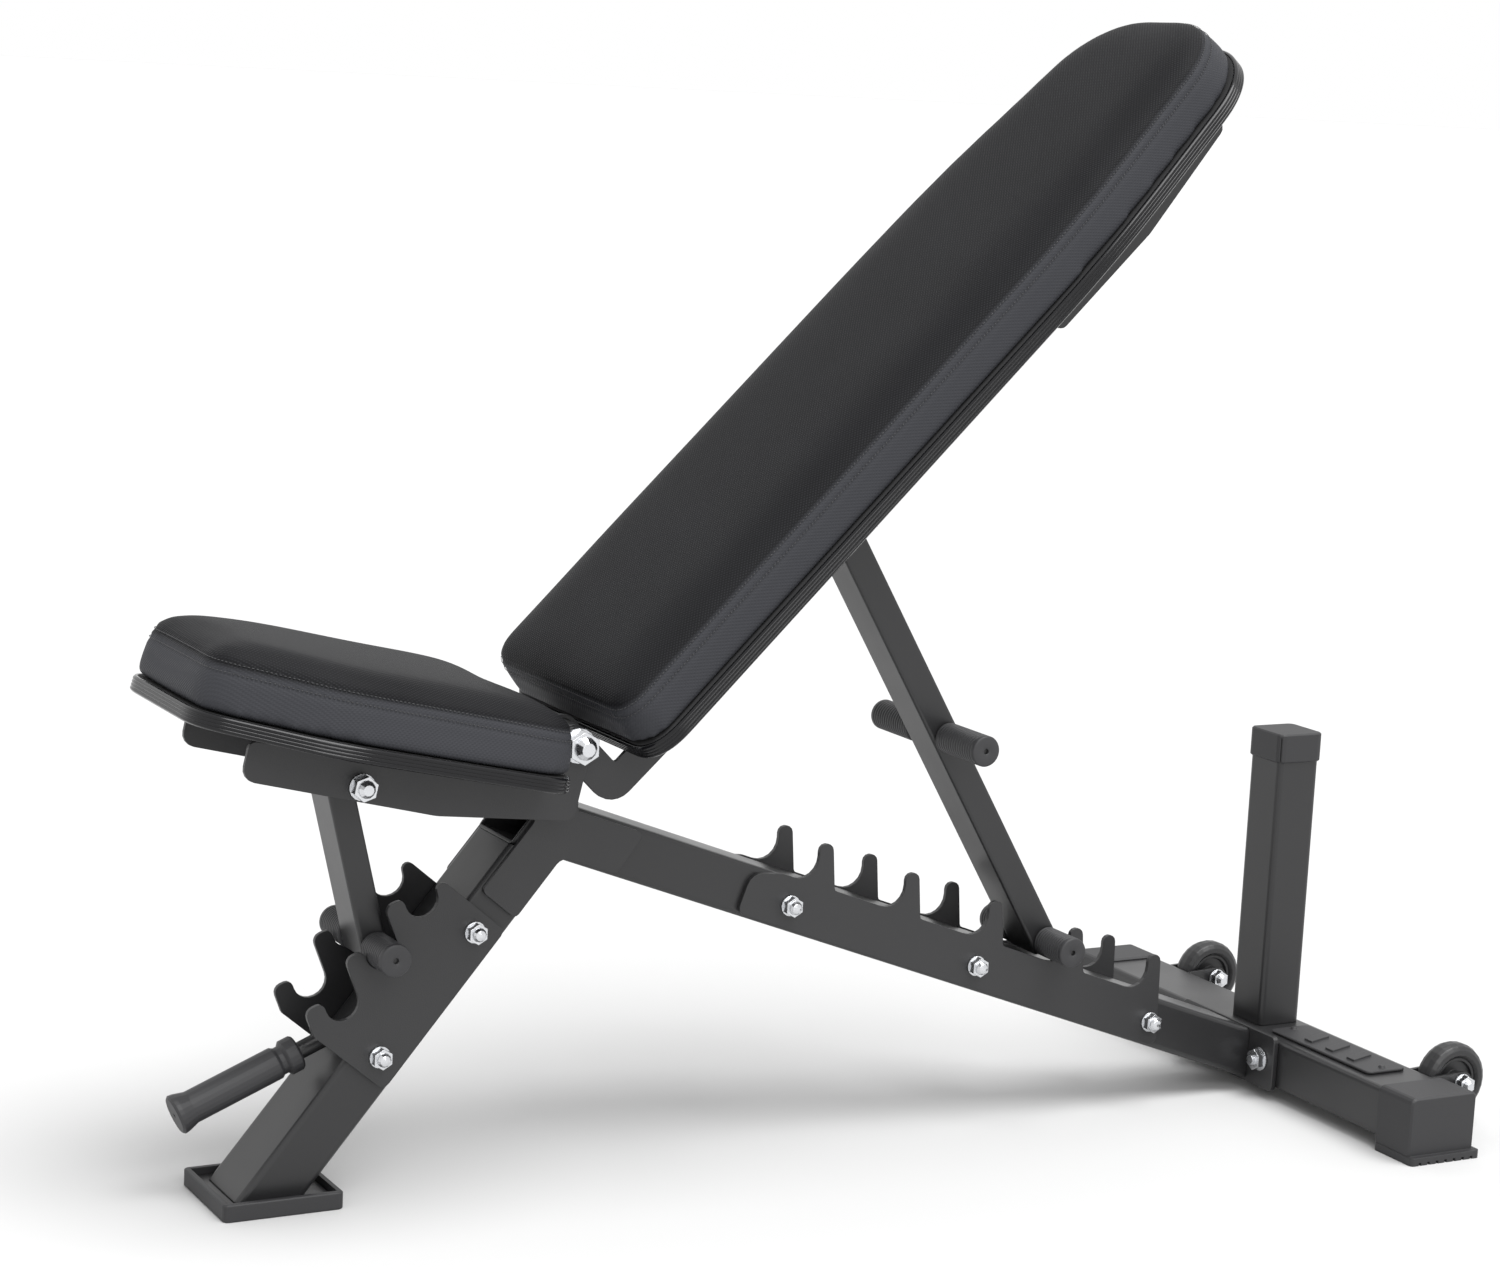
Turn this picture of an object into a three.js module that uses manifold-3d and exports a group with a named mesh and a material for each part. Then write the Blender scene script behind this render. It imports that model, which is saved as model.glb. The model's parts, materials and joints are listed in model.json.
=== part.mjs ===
// Adjustable weight bench: a three-legged steel frame that carries a seat and a back pad on one hinge.
// Each pad is propped by a strut whose rollers rest in a pair of notched ladder plates.
// Millimetres, +Z up, the seat's front towards -X, the rider's left side towards -Y.
import * as THREE from 'three';
import { mergeVertices } from 'three/addons/utils/BufferGeometryUtils.js';
import Module from 'manifold-3d';

const wasm = await Module();
wasm.setup();

// ---- driving dimensions ----
const GAP = 0.3; // between pieces that touch
const RUNNING = 0.5; // radial clearance of turning pieces

const HINGE_X = -808; // measured from the crossbar's front face
const HINGE_Z = 413.5;
const JUNCTION_DROP = 85; // hinge to where the leg and beam centre lines meet
const LEG_FOOT_X = -1077; // leg centre line at the ground
const BEAM_END_Z = 40; // beam centre line at the rear plate

const TUBE_WIDE = 75; // leg, beam and crossbar section
const TUBE_DEEP = 50;
const TUBE_WALL = 3;
const TUBE_RADIUS = 5;

const FOOT_SIZE = 100;
const FOOT_PLATE = 5;
const BOOT_WALL = 5.5;
const BOOT_FLOOR = 4;
const BOOT_HEIGHT = 16;

const CROSSBAR_HALF = 287; // half of the tube's length
const CROSSBAR_BASE = 13;
const CAP_LENGTH = 52;
const CAP_WALL = 2.6;
const SOLE_RIBS = 8;

const REAR_PLATE = 6;
const REAR_PLATE_HALF = 79;
const REAR_PLATE_BOLT_Y = 58;

const POST_SIZE = 50;
const POST_TOP = 367;
const POST_X = 41;
const POST_CAP_LENGTH = 30;
const POST_CAP_WALL = 2;

const PLATE = 4.5; // ladder, gusset, seat and back plates
const ARC_TOLERANCE = 0.25; // how far a flat facet may leave its arc

const REAR_TEETH = 5;
const REAR_PITCH = 103.2;
const REAR_FINGER = 14.5;
const REAR_FINGER_RISE = 11; // finger top above the notch centre
const REST_NOTCH = 3; // rear notch that holds the roller
const REAR_BOLT_PITCH = 2.1802 * REAR_PITCH;

const FRONT_NOTCHES = 3;
const FRONT_FINGER_RISE = 8.5;
const FRONT_LEAN = 21.4; // degrees that the notches lean forward

const ROLLER_RADIUS = 15;
const REAR_SEAT_RADIUS = ROLLER_RADIUS + 5;
const FRONT_NOTCH_HALF = ROLLER_RADIUS + 0.9;
const FRONT_PITCH = 2 * FRONT_NOTCH_HALF + 25.4;
const PIN_RADIUS = 10;
const ROLLER_END = 75; // half of a ladder roller's length
const GRIP_END = 96; // half of the lifting grip's length
const GRIP_UP = 248.6; // lifting grip to ladder roller, along the strut

const BACK_ANGLE = 45; // degrees above level
const SEAT_ANGLE = 11.5;
const BACK_STRUT_PIVOT = [342, -60]; // along the back pad, and away from it
const SEAT_STRUT_PIVOT = [-195.3, -66];
const BACK_STRUT_WIDE = 50;
const BACK_STRUT_DEEP = 30;
const SEAT_STRUT_DEEP = 25;
const STRUT_WALL = 2.5;
const DRAIN_RADIUS = 3;

const SIDE_PLATE_Y = 70.5; // inner face of the back's side plates
const PAD_HALF = 154;
const BACK_PAD_START = 27; // from the hinge to the pad's lower end
const BACK_PAD_END = 932;
const SEAT_PAD_START = 24;
const SEAT_PAD_END = 362;
const PAD_BASE = -36; // pad underside, below the hinge
const PAD_BOARD = 13.3;
const PAD_SEAM = 17; // where the sides meet the crown
const PAD_TOP = 33;
const PAD_TRIM = 4;
const PAD_CROWN_REACH = 28; // from the seam inwards to the flat of the crown

const HANDLE_RADIUS = 8;
const HANDLE_HEIGHT = 141; // at its root, on the leg
const HANDLE_OUT = 48.46; // root, in front of the leg's centre line
const HANDLE_REACH = [-136, -57]; // from the root to the tip
const GRIP_LENGTH = 122;
const GRIP_RADIUS = 15;

const WHEEL_Y = 206;
const WHEEL_Z = 50;
const WHEEL_RADIUS = 37.5;
const WHEEL_X = TUBE_WIDE + WHEEL_RADIUS + 5;
const WHEEL_WIDTH = 24;
const HUB_RADIUS = 24;
const AXLE_RADIUS = 5;
const BRACKET_PLATE = 3.5;

const HINGE_BOLT_RADIUS = 8;
const LADDER_BOLT_RADIUS = 5;
const SEAT_PLATE_Y = SIDE_PLATE_Y + PLATE + 1; // inner face of the seat's side plates

// ---- materials ----
const steelMaterial = () => new THREE.MeshStandardMaterial({ color: 0x2b2c2e, roughness: 0.35, metalness: 0.4 });
const zincMaterial = () => new THREE.MeshStandardMaterial({ color: 0xc9ccd0, roughness: 0.22, metalness: 1 });
const rubberMaterial = () => new THREE.MeshStandardMaterial({ color: 0x1d1e21, roughness: 0.75, metalness: 0 });
const vinylMaterial = () => new THREE.MeshStandardMaterial({ color: 0x242426, roughness: 0.6, metalness: 0 });
const trimMaterial = () => new THREE.MeshStandardMaterial({ color: 0x101114, roughness: 0.25, metalness: 0 });
const boardMaterial = () => new THREE.MeshStandardMaterial({ color: 0x3a3029, roughness: 0.8, metalness: 0 });
const tyreMaterial = () => new THREE.MeshStandardMaterial({ color: 0x17181a, roughness: 0.5, metalness: 0 });

// ---- solids ----
function toSolid(geometry) {
  const bare = geometry.clone();
  bare.deleteAttribute('normal');
  bare.deleteAttribute('uv');
  const merged = mergeVertices(bare, 1e-4);
  const vertProperties = new Float32Array(merged.attributes.position.array);
  const triVerts = new Uint32Array(merged.index.array);
  return new wasm.Manifold(new wasm.Mesh({ numProp: 3, vertProperties, triVerts }));
}

function toGeometry(solid) {
  const mesh = solid.getMesh();
  const geometry = new THREE.BufferGeometry();
  geometry.setAttribute('position', new THREE.BufferAttribute(new Float32Array(mesh.vertProperties), 3));
  geometry.setIndex(new THREE.BufferAttribute(new Uint32Array(mesh.triVerts), 1));
  return geometry;
}

function join(...geometries) {
  return toGeometry(geometries.map(toSolid).reduce((whole, piece) => whole.add(piece)));
}

function cut(base, ...tools) {
  return toGeometry(tools.map(toSolid).reduce((whole, tool) => whole.subtract(tool), toSolid(base)));
}

// ---- flat outlines ----
const turned = (x, z, degrees) => {
  const a = THREE.MathUtils.degToRad(degrees);
  return [x * Math.cos(a) - z * Math.sin(a), x * Math.sin(a) + z * Math.cos(a)];
};

// A closed outline through corner points [x, y, radius], each corner rounded by a tangent arc.
function roundedShape(points, shape = new THREE.Shape(), tolerance = ARC_TOLERANCE) {
  const outline = [];
  points.forEach(([x, y, radius = 0], i) => {
    const corner = new THREE.Vector2(x, y);
    const before = new THREE.Vector2(...points.at(i - 1)).sub(corner).normalize();
    const after = new THREE.Vector2(...points[(i + 1) % points.length]).sub(corner).normalize();
    const half = Math.acos(THREE.MathUtils.clamp(before.dot(after), -1, 1)) / 2;
    if (radius === 0) {
      outline.push(corner);
      return;
    }
    const start = corner.clone().addScaledVector(before, radius / Math.tan(half));
    const middle = before.clone().add(after).normalize();
    const centre = corner.clone().addScaledVector(middle, radius / Math.sin(half));
    const turn = before.x * after.y - before.y * after.x < 0 ? 1 : -1;
    const sweep = turn * (Math.PI - 2 * half);
    const parts = Math.max(1, Math.ceil(Math.abs(sweep) / (2 * Math.acos(1 - Math.min(tolerance / radius, 0.3)))));
    for (let step = 0; step <= parts; step++) {
      outline.push(start.clone().rotateAround(centre, (sweep * step) / parts));
    }
  });
  shape.setFromPoints(outline);
  shape.closePath();
  return shape;
}

// The same closed outline moved inwards; the corner radii shrink with it. The points run anticlockwise.
function insetPoints(points, inset) {
  const moved = [];
  points.forEach(([x, y, radius = 0], i) => {
    const [px, py] = points.at(i - 1);
    const [nx, ny] = points[(i + 1) % points.length];
    const a = new THREE.Vector2(x - px, y - py).normalize();
    const b = new THREE.Vector2(nx - x, ny - y).normalize();
    const turn = a.x * b.y - a.y * b.x;
    const along = (inset * (1 - a.dot(b))) / turn;
    moved.push([x - inset * a.y - along * a.x, y + inset * a.x - along * a.y, Math.max(radius - inset, 0.5)]);
  });
  return moved;
}

// A hole whose flats stay outside the given radius.
function circlePath(x, y, radius, parts = 16) {
  const path = new THREE.Path();
  const corner = radius / Math.cos(Math.PI / parts);
  const points = [];
  for (let i = 0; i < parts; i++) {
    const a = (-2 * Math.PI * i) / parts;
    points.push(new THREE.Vector2(x + corner * Math.cos(a), y + corner * Math.sin(a)));
  }
  path.setFromPoints(points);
  path.closePath();
  return path;
}

const boxPoints = (x0, y0, x1, y1, radius = 0) => [
  [x0, y0, radius],
  [x1, y0, radius],
  [x1, y1, radius],
  [x0, y1, radius],
];

// ---- basic bodies ----
// A plate whose outline lies in XZ, between y0 and y0 + thickness.
function sidePlate(shape, thickness, y0) {
  const geometry = new THREE.ExtrudeGeometry(shape, { depth: thickness, bevelEnabled: false });
  geometry.rotateX(Math.PI / 2);
  geometry.translate(0, y0 + thickness, 0);
  return geometry;
}

// A plate whose outline lies in XY, between z0 and z0 + thickness.
function levelPlate(shape, thickness, z0, bevel = 0) {
  const geometry = new THREE.ExtrudeGeometry(shape, {
    depth: thickness - 2 * bevel,
    bevelEnabled: bevel > 0,
    bevelThickness: bevel,
    bevelSize: bevel,
    bevelOffset: -bevel,
    bevelSegments: 1,
  });
  geometry.translate(0, 0, z0 + bevel);
  return geometry;
}

function box(x0, y0, z0, x1, y1, z1) {
  const geometry = new THREE.BoxGeometry(x1 - x0, y1 - y0, z1 - z0);
  geometry.translate((x0 + x1) / 2, (y0 + y1) / 2, (z0 + z1) / 2);
  return geometry;
}

// A cylinder along Y.
function crossCylinder(radius, y0, y1, x = 0, z = 0, parts = 24) {
  const geometry = new THREE.CylinderGeometry(radius, radius, y1 - y0, parts);
  geometry.translate(x, (y0 + y1) / 2, z);
  return geometry;
}

// The cutting tool of a bore along Y, its flats outside the given radius.
const crossBore = (radius, x = 0, z = 0, parts = 16) =>
  crossCylinder(radius / Math.cos(Math.PI / parts), -200, 200, x, z, parts);

// A body of revolution about the Y axis through (x, z), from [radius, y] points.
function crossLathe(profile, x = 0, z = 0, parts = 24) {
  const geometry = new THREE.LatheGeometry(profile.map(([r, y]) => new THREE.Vector2(r, y)), parts);
  geometry.translate(x, 0, z);
  return geometry;
}

// A rectangular tube along +X, open at both ends, centred on the X axis.
function tube(length, wide, deep, wall = TUBE_WALL, radius = TUBE_RADIUS) {
  const shape = roundedShape(boxPoints(-wide / 2, -deep / 2, wide / 2, deep / 2, radius));
  shape.holes.push(roundedShape(boxPoints(-wide / 2 + wall, -deep / 2 + wall, wide / 2 - wall, deep / 2 - wall)));
  const geometry = new THREE.ExtrudeGeometry(shape, { depth: length, bevelEnabled: false });
  geometry.rotateX(Math.PI / 2);
  geometry.rotateZ(Math.PI / 2);
  return geometry;
}

// Tilts a body in the XZ plane, anticlockwise as seen from -Y, then moves it.
function placed(geometry, degrees, x, z) {
  geometry.rotateY(-THREE.MathUtils.degToRad(degrees));
  geometry.translate(x, 0, z);
  return geometry;
}

// A hexagon prism along Y.
function hexNut(acrossFlats, y0, y1, x = 0, z = 0) {
  return crossCylinder(acrossFlats / Math.sqrt(3), y0, y1, x, z, 6);
}

// ---- scene graph ----
const bench = new THREE.Group();

function group(parent, x, z, degrees) {
  const made = new THREE.Group();
  made.position.set(x, 0, z);
  made.rotation.y = -THREE.MathUtils.degToRad(degrees);
  parent.add(made);
  return made;
}

function add(parent, name, geometry, material) {
  const mesh = new THREE.Mesh(geometry, material);
  mesh.name = name;
  parent.add(mesh);
  return mesh;
}

const SIDES = [
  ['left', -1],
  ['right', 1],
];

// The lower face of a plate that starts at `inner` on the given side.
const plateBase = (side, inner, thickness) => (side < 0 ? -inner - thickness : inner);
const sideSpan = (side, inner, outer) => (side < 0 ? [-outer, -inner] : [inner, outer]);

// ---- lines that place everything ----
const junction = [HINGE_X, HINGE_Z - JUNCTION_DROP];
const beamEnd = [-REAR_PLATE - 2 * GAP, BEAM_END_Z];
const beamAngle = THREE.MathUtils.radToDeg(Math.atan2(beamEnd[1] - junction[1], beamEnd[0] - junction[0]));
const legAngle = THREE.MathUtils.radToDeg(Math.atan2(junction[1], junction[0] - LEG_FOOT_X));
const handleFoot = HANDLE_HEIGHT / Math.tan(THREE.MathUtils.degToRad(legAngle));
const HANDLE_ROOT = [LEG_FOOT_X + handleFoot - HANDLE_OUT, HANDLE_HEIGHT];
const HANDLE_TIP = HANDLE_ROOT.map((v, i) => v + HANDLE_REACH[i]);
const onBeam = (along, up) => turned(along, up, beamAngle).map((v, i) => v + junction[i]);
const onLeg = (along, out) => turned(along, out, legAngle).map((v, i) => v + junction[i]);
const onBack = (along, up) => turned(along, up, BACK_ANGLE).map((v, i) => v + [HINGE_X, HINGE_Z][i]);
const onSeat = (along, up) => turned(along, up, -SEAT_ANGLE).map((v, i) => v + [HINGE_X, HINGE_Z][i]);
const beamLength = Math.hypot(beamEnd[0] - junction[0], beamEnd[1] - junction[1]);
const plateInner = TUBE_WIDE / 2 + GAP;
const plateOuter = plateInner + PLATE;

// ---- fasteners, each one solid: head, shank and nut ----
// Through bolt along Y from the nut's seat at -reach to the other at +reach.
function throughBolt(radius, reach, x = 0, z = 0, domed = true) {
  const flats = radius * 3.3;
  const seat = reach + GAP;
  const washer = 2;
  const nut = radius * 1.6;
  const crown = radius * 0.9;
  const shank = crossCylinder(radius, -seat - washer, seat + washer, x, z, 12);
  const pieces = [shank];
  for (const side of [-1, 1]) {
    pieces.push(crossCylinder(radius * 2, ...sideSpan(side, seat, seat + washer), x, z, 16));
    pieces.push(hexNut(flats, ...sideSpan(side, seat + washer / 2, seat + washer + nut), x, z));
    const base = seat + washer + nut;
    const rise = domed ? crown * 1.3 : crown;
    const tip = domed ? radius * 0.35 : radius * 0.8;
    const profile = [
      [0, base - 1],
      [radius * 1.35, base - 1],
      [radius * 1.3, base + rise * 0.35],
      [radius * 0.95, base + rise * 0.8],
      [tip, base + rise],
      [0, base + rise],
    ];
    const dome = crossLathe(profile, 0, 0, 12);
    if (side < 0) dome.rotateX(Math.PI);
    dome.translate(x, 0, z);
    pieces.push(dome);
  }
  return join(...pieces);
}

// ---- base frame ----
function buildLeg() {
  const reachDown = junction[1] / Math.sin(THREE.MathUtils.degToRad(legAngle)) + TUBE_DEEP;
  const leg = placed(tube(reachDown, TUBE_WIDE, TUBE_DEEP), legAngle + 180, ...junction);
  const ground = box(-2000, -200, -200, 0, 200, BOOT_FLOOR + FOOT_PLATE + 2 * GAP);
  const underBeam = box(-300, -200, -TUBE_DEEP / 2 - GAP, 300, 200, 400);
  placed(underBeam, beamAngle, ...junction);
  const holes = frontBoltSpots().map(([x, z]) => crossBore(LADDER_BOLT_RADIUS + GAP, x, z));
  const [x, z] = handleEntry();
  const handleHole = new THREE.CylinderGeometry(HANDLE_RADIUS + GAP, HANDLE_RADIUS + GAP, 60, 24);
  handleHole.rotateZ(Math.PI / 2);
  placed(handleHole, handleAngle(), x, z);
  add(bench, 'front_leg', cut(leg, ground, underBeam, handleHole, ...holes), steelMaterial());
}

function buildBeam() {
  const beam = placed(tube(beamLength + 200, TUBE_WIDE, TUBE_DEEP), beamAngle, ...onBeam(-150, 0));
  const beyondEnd = box(beamEnd[0], -200, -500, 500, 200, 500);
  const beforeLeg = box(-600, -200, TUBE_DEEP / 2, 600, 200, 600);
  placed(beforeLeg, legAngle, ...junction);
  const holes = rearBoltSpots().map(([x, z]) => crossBore(LADDER_BOLT_RADIUS + GAP, x, z));
  add(bench, 'main_beam', cut(beam, beyondEnd, beforeLeg, ...holes), steelMaterial());
}

// Boomerang plates on the sides of the leg and beam, with a riser to the hinge.
const SLEEVE_RADIUS = 17;
const GUSSET_INSET = 3;
const GUSSET_LEG_REACH = 85;
const GUSSET_BEAM_REACH = 82;
const RISER_HALF = 21;

function gussetShape() {
  const edge = TUBE_DEEP / 2 - GUSSET_INSET;
  const legFront = onLeg(-GUSSET_LEG_REACH, edge);
  const legRear = onLeg(-GUSSET_LEG_REACH, -edge);
  const inner = crossing(onLeg(0, -edge), legAngle, onBeam(0, -edge), beamAngle);
  const beamLow = onBeam(GUSSET_BEAM_REACH - 8, -edge);
  const beamHigh = onBeam(GUSSET_BEAM_REACH + 6, edge);
  const riserFoot = crossing([HINGE_X + RISER_HALF, 0], 90, onBeam(0, edge), beamAngle);
  const top = HINGE_Z + RISER_HALF;
  const riserFront = crossing([HINGE_X - RISER_HALF, 0], 90, onLeg(0, edge), legAngle);
  const points = [
    [...legFront, 5],
    [...legRear, 5],
    [...inner, 12],
    [...beamLow, 6],
    [...beamHigh, 6],
    [...riserFoot, 4],
    [HINGE_X + RISER_HALF, top, RISER_HALF - 1],
    [HINGE_X - RISER_HALF, top, RISER_HALF - 1],
    [...riserFront, 8],
  ];
  const shape = roundedShape(points);
  shape.holes.push(circlePath(HINGE_X, HINGE_Z, SLEEVE_RADIUS + GAP));
  return shape;
}

// Where two lines in XZ meet, each given by a point and its angle.
function crossing([ax, az], aDegrees, [bx, bz], bDegrees) {
  const [adx, adz] = turned(1, 0, aDegrees);
  const [bdx, bdz] = turned(1, 0, bDegrees);
  const t = ((bx - ax) * bdz - (bz - az) * bdx) / (adx * bdz - adz * bdx);
  return [ax + t * adx, az + t * adz];
}

function buildGussets() {
  for (const [name, side] of SIDES) {
    const plate = sidePlate(gussetShape(), PLATE, plateBase(side, plateInner, PLATE));
    add(bench, `gusset_${name}`, plate, steelMaterial());
  }
  const sleeveEnd = SIDE_PLATE_Y - GAP;
  const outer = crossCylinder(SLEEVE_RADIUS, -sleeveEnd, sleeveEnd, HINGE_X, HINGE_Z, 32);
  const bore = crossBore(HINGE_BOLT_RADIUS + GAP, HINGE_X, HINGE_Z);
  add(bench, 'hinge_sleeve', cut(outer, bore), steelMaterial());
  const reach = SEAT_PLATE_Y + PLATE + GAP;
  add(bench, 'hinge_bolt', throughBolt(HINGE_BOLT_RADIUS, reach, HINGE_X, HINGE_Z, false), zincMaterial());
}

function buildFoot() {
  const centre = LEG_FOOT_X + 8 / Math.tan(THREE.MathUtils.degToRad(legAngle)) + 8;
  const half = FOOT_SIZE / 2;
  const plate = roundedShape(boxPoints(centre - half, -half, centre + half, half, 3));
  add(bench, 'foot_plate', levelPlate(plate, FOOT_PLATE, BOOT_FLOOR + GAP, 0.8), steelMaterial());
  const reach = half + GAP + BOOT_WALL;
  const outer = roundedShape(boxPoints(centre - reach, -reach, centre + reach, reach, 5));
  const well = half + GAP;
  const hollow = box(centre - well, -well, BOOT_FLOOR, centre + well, well, 100);
  const boot = cut(levelPlate(outer, BOOT_HEIGHT, 0, 1), hollow);
  add(bench, 'foot_boot', boot, rubberMaterial());
}

// ---- rear crossbar ----
const crossbarTop = CROSSBAR_BASE + TUBE_DEEP;

function buildCrossbar() {
  const bar = tube(2 * CROSSBAR_HALF, TUBE_WIDE, TUBE_DEEP);
  bar.translate(-CROSSBAR_HALF, 0, 0);
  bar.rotateZ(Math.PI / 2);
  bar.translate(TUBE_WIDE / 2, 0, CROSSBAR_BASE + TUBE_DEEP / 2);
  const holes = [];
  for (const side of [-1, 1]) {
    const hole = crossBore(LADDER_BOLT_RADIUS + 1 + GAP);
    hole.rotateZ(Math.PI / 2);
    hole.translate(0, side * REAR_PLATE_BOLT_Y, BEAM_END_Z);
    holes.push(hole);
  }
  add(bench, 'crossbar', cut(bar, ...holes), steelMaterial());

  for (const [name, side] of SIDES) {
    const inner = CROSSBAR_HALF + 3 + CAP_WALL - CAP_LENGTH;
    const outer = CROSSBAR_HALF + 3 + CAP_WALL;
    const x0 = -CAP_WALL - GAP;
    const x1 = TUBE_WIDE + CAP_WALL + GAP;
    const z1 = crossbarTop + CAP_WALL + GAP;
    const soleOut = 6;
    const [y0, y1] = sideSpan(side, inner, outer);
    const [s0, s1] = sideSpan(side, inner, outer + soleOut);
    const shell = new THREE.ExtrudeGeometry(roundedShape(boxPoints(x0, 4, x1, z1, 6)), {
      depth: y1 - y0 - 4,
      bevelThickness: 2,
      bevelSize: 2,
      bevelOffset: -2,
      bevelSegments: 1,
    });
    shell.rotateX(Math.PI / 2);
    shell.translate(0, y1 - 2, 0);
    const sole = levelPlate(roundedShape(boxPoints(x0, s0, x1 + 4, s1, 4)), 8, 0);
    const [h0, h1] = sideSpan(side, inner - 10, CROSSBAR_HALF + GAP);
    const cavity = box(-GAP, h0, CROSSBAR_BASE - GAP, TUBE_WIDE + GAP, h1, crossbarTop + GAP);
    const pitch = (x1 + 4 - x0) / SOLE_RIBS;
    const slots = [];
    for (let i = 1; i < SOLE_RIBS; i++) {
      const at = x0 + i * pitch;
      slots.push(box(at - 1.5, s0 - 5, -5, at + 1.5, s1 + 5, 3));
    }
    add(bench, `end_cap_${name}`, cut(join(shell, sole), cavity, ...slots), rubberMaterial());
  }
}

function buildRearPlate() {
  const z0 = BEAM_END_Z - 30;
  const z1 = BEAM_END_Z + 28;
  const shape = roundedShape(boxPoints(z0, -REAR_PLATE_HALF, z1, REAR_PLATE_HALF, 6));
  for (const side of [-1, 1]) {
    shape.holes.push(circlePath(BEAM_END_Z, side * REAR_PLATE_BOLT_Y, LADDER_BOLT_RADIUS + 1 + GAP));
  }
  const plate = levelPlate(shape, REAR_PLATE, 0, 0.8);
  plate.rotateY(-Math.PI / 2);
  plate.translate(-GAP, 0, 0);
  add(bench, 'rear_plate', plate, steelMaterial());
  for (const [name, side] of SIDES) {
    const radius = LADDER_BOLT_RADIUS + 1;
    const head = hexNut(19, -REAR_PLATE - 10, -REAR_PLATE - 2 - GAP);
    const washer = crossCylinder(12, -REAR_PLATE - 2 - 2 * GAP, -REAR_PLATE - 2 * GAP);
    const tip = crossCylinder(radius - 1, -REAR_PLATE - 14, -REAR_PLATE - 9);
    const shank = crossCylinder(radius, -REAR_PLATE - 9, 16);
    const bolt = join(head, washer, tip, shank);
    bolt.rotateZ(-Math.PI / 2);
    bolt.translate(0, side * REAR_PLATE_BOLT_Y, BEAM_END_Z);
    add(bench, `rear_plate_bolt_${name}`, bolt, zincMaterial());
  }
}

function buildPost() {
  const base = crossbarTop + GAP;
  const post = tube(POST_TOP - base, POST_SIZE, POST_SIZE);
  post.rotateY(-Math.PI / 2);
  post.translate(POST_X, 0, base);
  add(bench, 'post', post, steelMaterial());
  const reach = POST_SIZE / 2 + GAP + POST_CAP_WALL;
  const outline = roundedShape(boxPoints(POST_X - reach, -reach, POST_X + reach, reach, TUBE_RADIUS + 2));
  const top = POST_TOP + GAP + 4;
  const cap = levelPlate(outline, POST_CAP_LENGTH, top - POST_CAP_LENGTH, 1.5);
  const inside = POST_SIZE / 2 + GAP;
  const hollow = box(POST_X - inside, -inside, 0, POST_X + inside, inside, POST_TOP + GAP);
  add(bench, 'post_cap', cut(cap, hollow), rubberMaterial());
}

// Embossed plate on the crossbar: a frame with three plain chevrons, held by a rivet at each end.
const NAME_PLATE = { start: 45, end: 205, half: 24, thick: 3 };

function buildNamePlate() {
  const { start, end, half, thick } = NAME_PLATE;
  const x = TUBE_WIDE / 2;
  const z = crossbarTop + GAP;
  const base = levelPlate(roundedShape(boxPoints(x - half, -end, x + half, -start, 6)), thick, z, 0.8);
  const raised = [];
  const middle = -(start + end) / 2;
  for (const step of [-1, 0, 1]) {
    const y = middle + step * 34;
    const chevron = [
      [x - 15, y - 12],
      [x + 15, y - 2],
      [x + 15, y + 10],
      [x - 15, y],
    ];
    raised.push(levelPlate(roundedShape(chevron), thick, z + thick - 1));
  }
  const rivets = [];
  for (const y of [-start - 9, -end + 9]) {
    const rivet = new THREE.CylinderGeometry(2.5, 4, 2.5, 16);
    rivet.rotateX(Math.PI / 2);
    rivet.translate(x, y, z + thick + 1);
    rivets.push(rivet);
  }
  add(bench, 'name_plate', join(base, ...raised, ...rivets), rubberMaterial());
}

// ---- ladders ----
// Rear notch centres lie on a line along the beam; the roller's seat is a quarter circle below the centre.
const strutThrust = strutLine().angle;
const rearSeat = turned(REAR_SEAT_RADIUS - ROLLER_RADIUS - GAP, 0, strutThrust);

// The back strut's line at rest, from its pivot to its roller.
function strutLine() {
  const [px, pz] = onBack(...BACK_STRUT_PIVOT);
  const floor = TUBE_DEEP / 2 + 2.2;
  const up = floor + REAR_SEAT_RADIUS;
  const angle = -58.7;
  const [nx, nz] = crossing([px, pz], angle, onBeam(0, up - 4), beamAngle);
  return { angle, pivot: [px, pz], roller: [nx, nz], length: Math.hypot(nx - px, nz - pz), up };
}
const backStrut = strutLine();
const restNotch = [backStrut.roller[0] - rearSeat[0], backStrut.roller[1] - rearSeat[1]];
const rearNotch = (i) => {
  const [dx, dz] = turned((i - REST_NOTCH) * REAR_PITCH, 0, beamAngle);
  return [restNotch[0] + dx, restNotch[1] + dz];
};

function rearBoltSpots() {
  const middle = rearNotchAlong(REST_NOTCH - 1);
  return [-1, 0, 1].map((i) => onBeam(middle + 25 + i * REAR_BOLT_PITCH, 0));
}

// Distance of a notch from the junction, along the beam.
function rearNotchAlong(i) {
  const [x, z] = rearNotch(i);
  return turned(x - junction[0], z - junction[1], -beamAngle)[0];
}

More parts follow.
